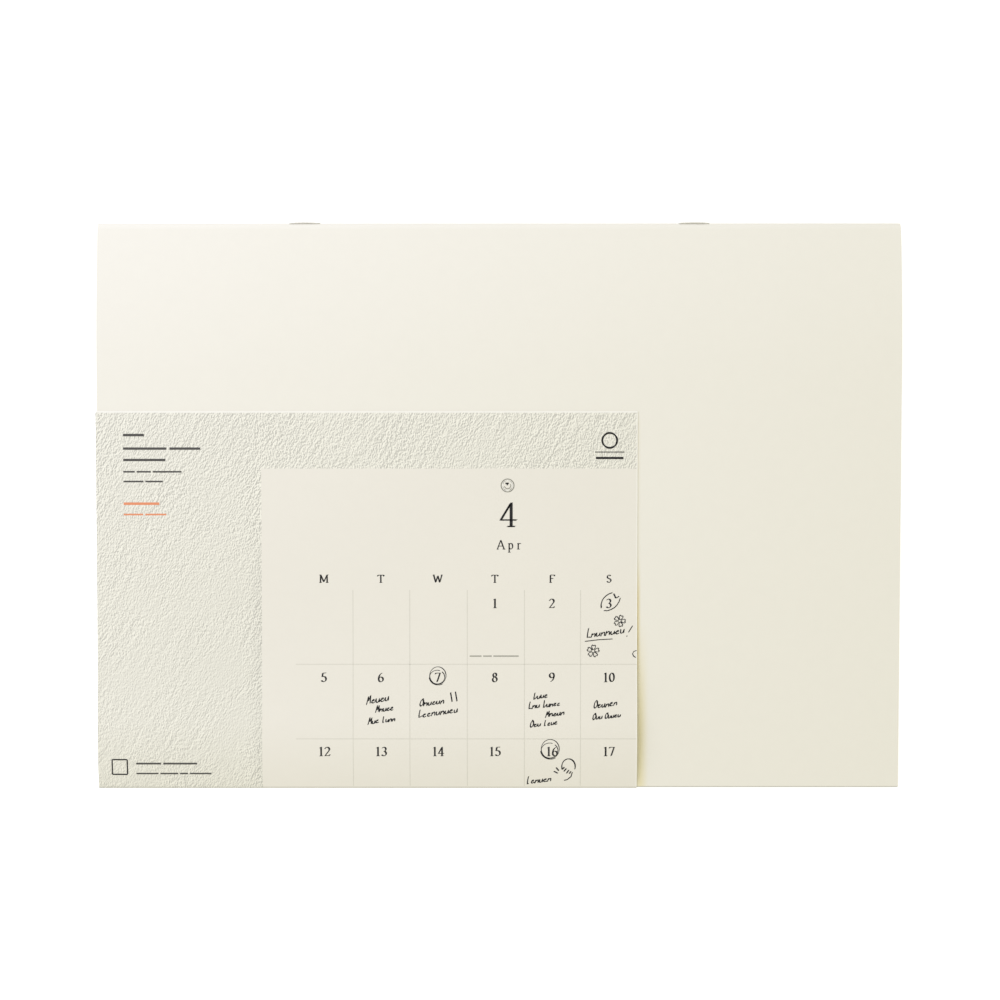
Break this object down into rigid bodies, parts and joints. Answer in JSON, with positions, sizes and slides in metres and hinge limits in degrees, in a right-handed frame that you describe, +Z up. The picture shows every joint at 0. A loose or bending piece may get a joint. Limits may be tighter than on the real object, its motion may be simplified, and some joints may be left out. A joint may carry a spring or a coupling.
{
  "type": "wall calendar",
  "caption": "Wall calendar booklet, closed: folded sheets stapled through the fold, with a printed paper band folded round the free edge.",
  "frame": {"origin": "on the surface that the closed calendar lies on, under the middle of its box", "axes": "+X along the fold, to the right as the front cover is read; +Y from the free edges to the stapled fold; +Z up out of the front cover"},
  "size_m": [0.2976, 0.2102, 0.011],
  "materials": {
    "cover_paper": "matt, cream",
    "page_paper": "matt, cream",
    "staple_wire": "drawn wire",
    "band_paper": "matt, printed pale grey"
  },
  "bodies": {
    "root": {"cover_sheet": "cover_paper", "page_block": "page_paper", "staple_left": "staple_wire", "staple_right": "staple_wire", "label_band": "band_paper"}
  },
  "joints": []
}
